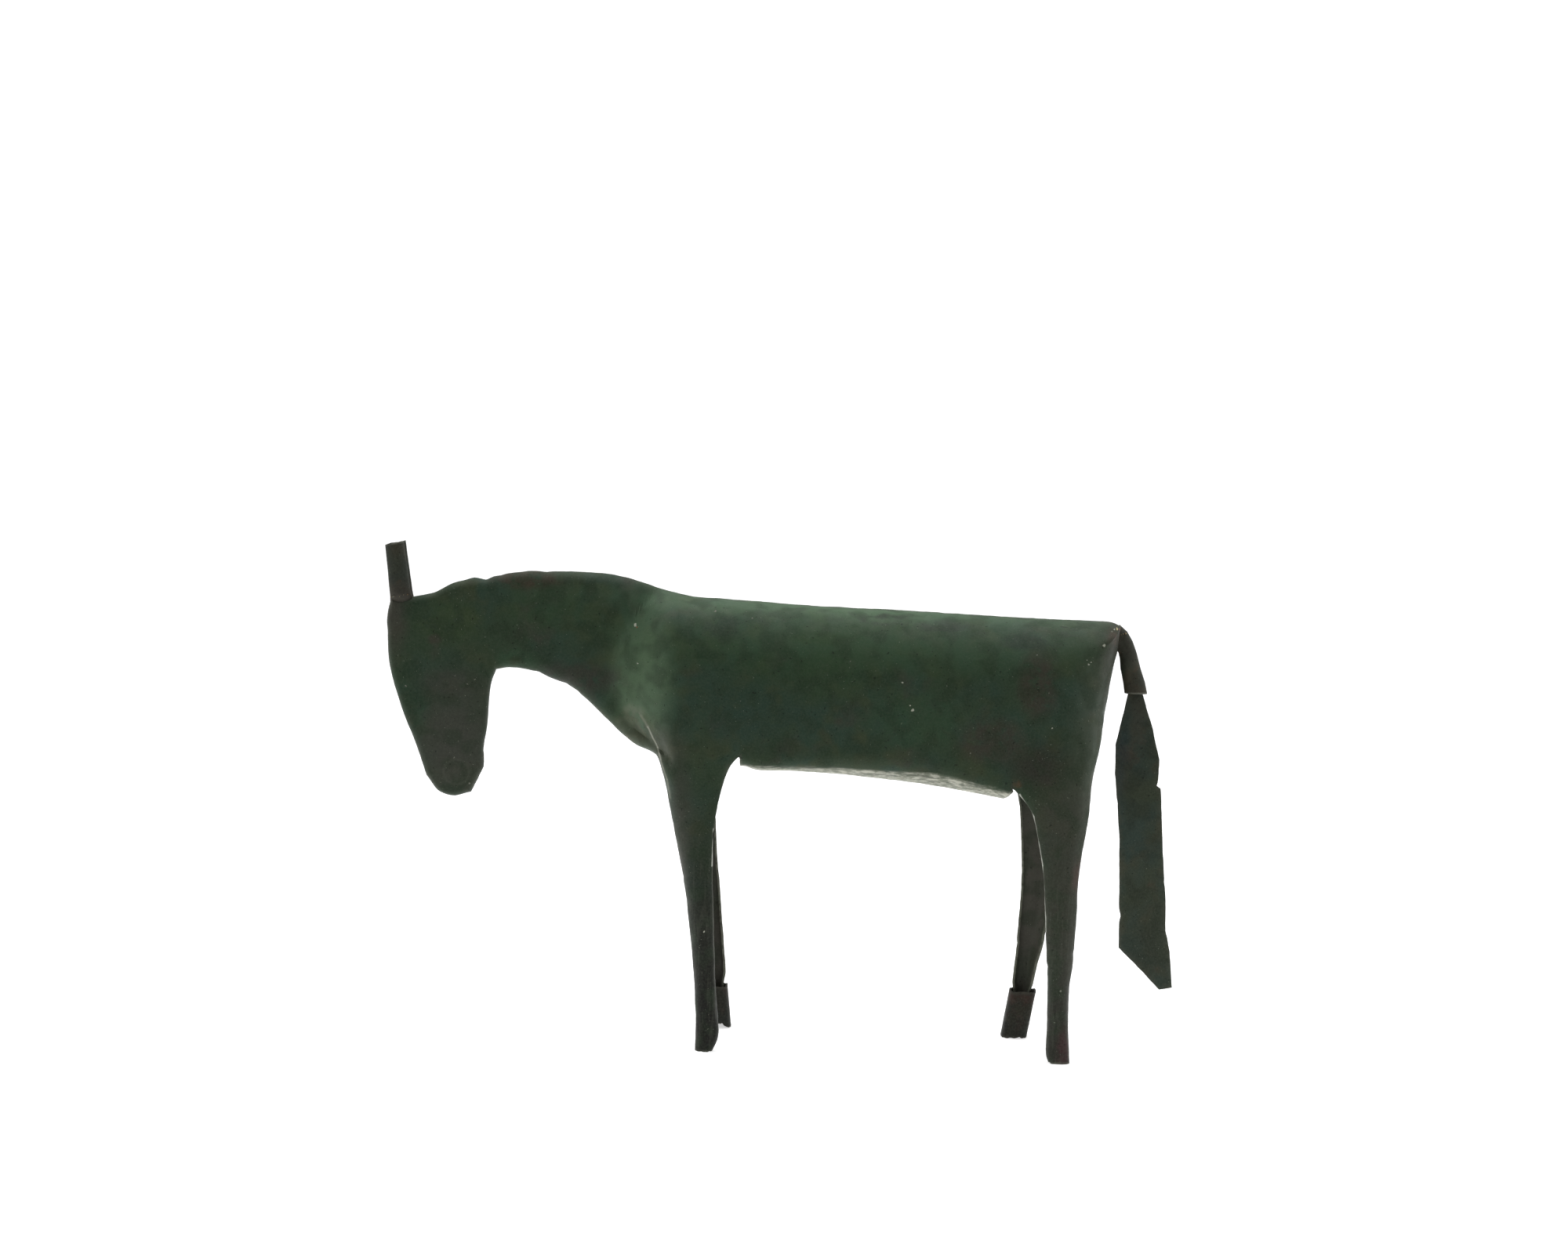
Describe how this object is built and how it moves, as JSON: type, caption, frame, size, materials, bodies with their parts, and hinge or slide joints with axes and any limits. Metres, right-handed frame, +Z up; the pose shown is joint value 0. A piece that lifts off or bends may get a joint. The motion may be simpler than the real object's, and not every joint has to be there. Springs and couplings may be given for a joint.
{
  "type": "metal horse sculpture",
  "caption": "Small standing horse with a lowered head, cut, folded and rolled from sheet metal with a dark green patina.",
  "frame": {"origin": "on the ground, below the middle of the whole length and width", "axes": "+X from the head towards the tail, +Y from the near side (seen in the picture) to the far side, +Z up"},
  "size_m": [0.3418, 0.056, 0.2093],
  "materials": {
    "body_patina": "satin dark green patina, worn brown in patches, pale on the belly",
    "ear_patina": "satin grey-brown patina over rolled sheet",
    "stem_patina": "satin grey-brown patina over a rolled tube",
    "strip_patina": "satin dark green patina over flat sheet",
    "hoof_patina": "dull dark patina over wrapped sheet"
  },
  "bodies": {
    "root": {"horse_body": "body_patina", "near_ear": "ear_patina", "far_ear": "ear_patina", "tail_stem": "stem_patina", "tail_strip": "strip_patina", "far_front_hoof": "hoof_patina", "far_rear_hoof": "hoof_patina"}
  },
  "joints": []
}
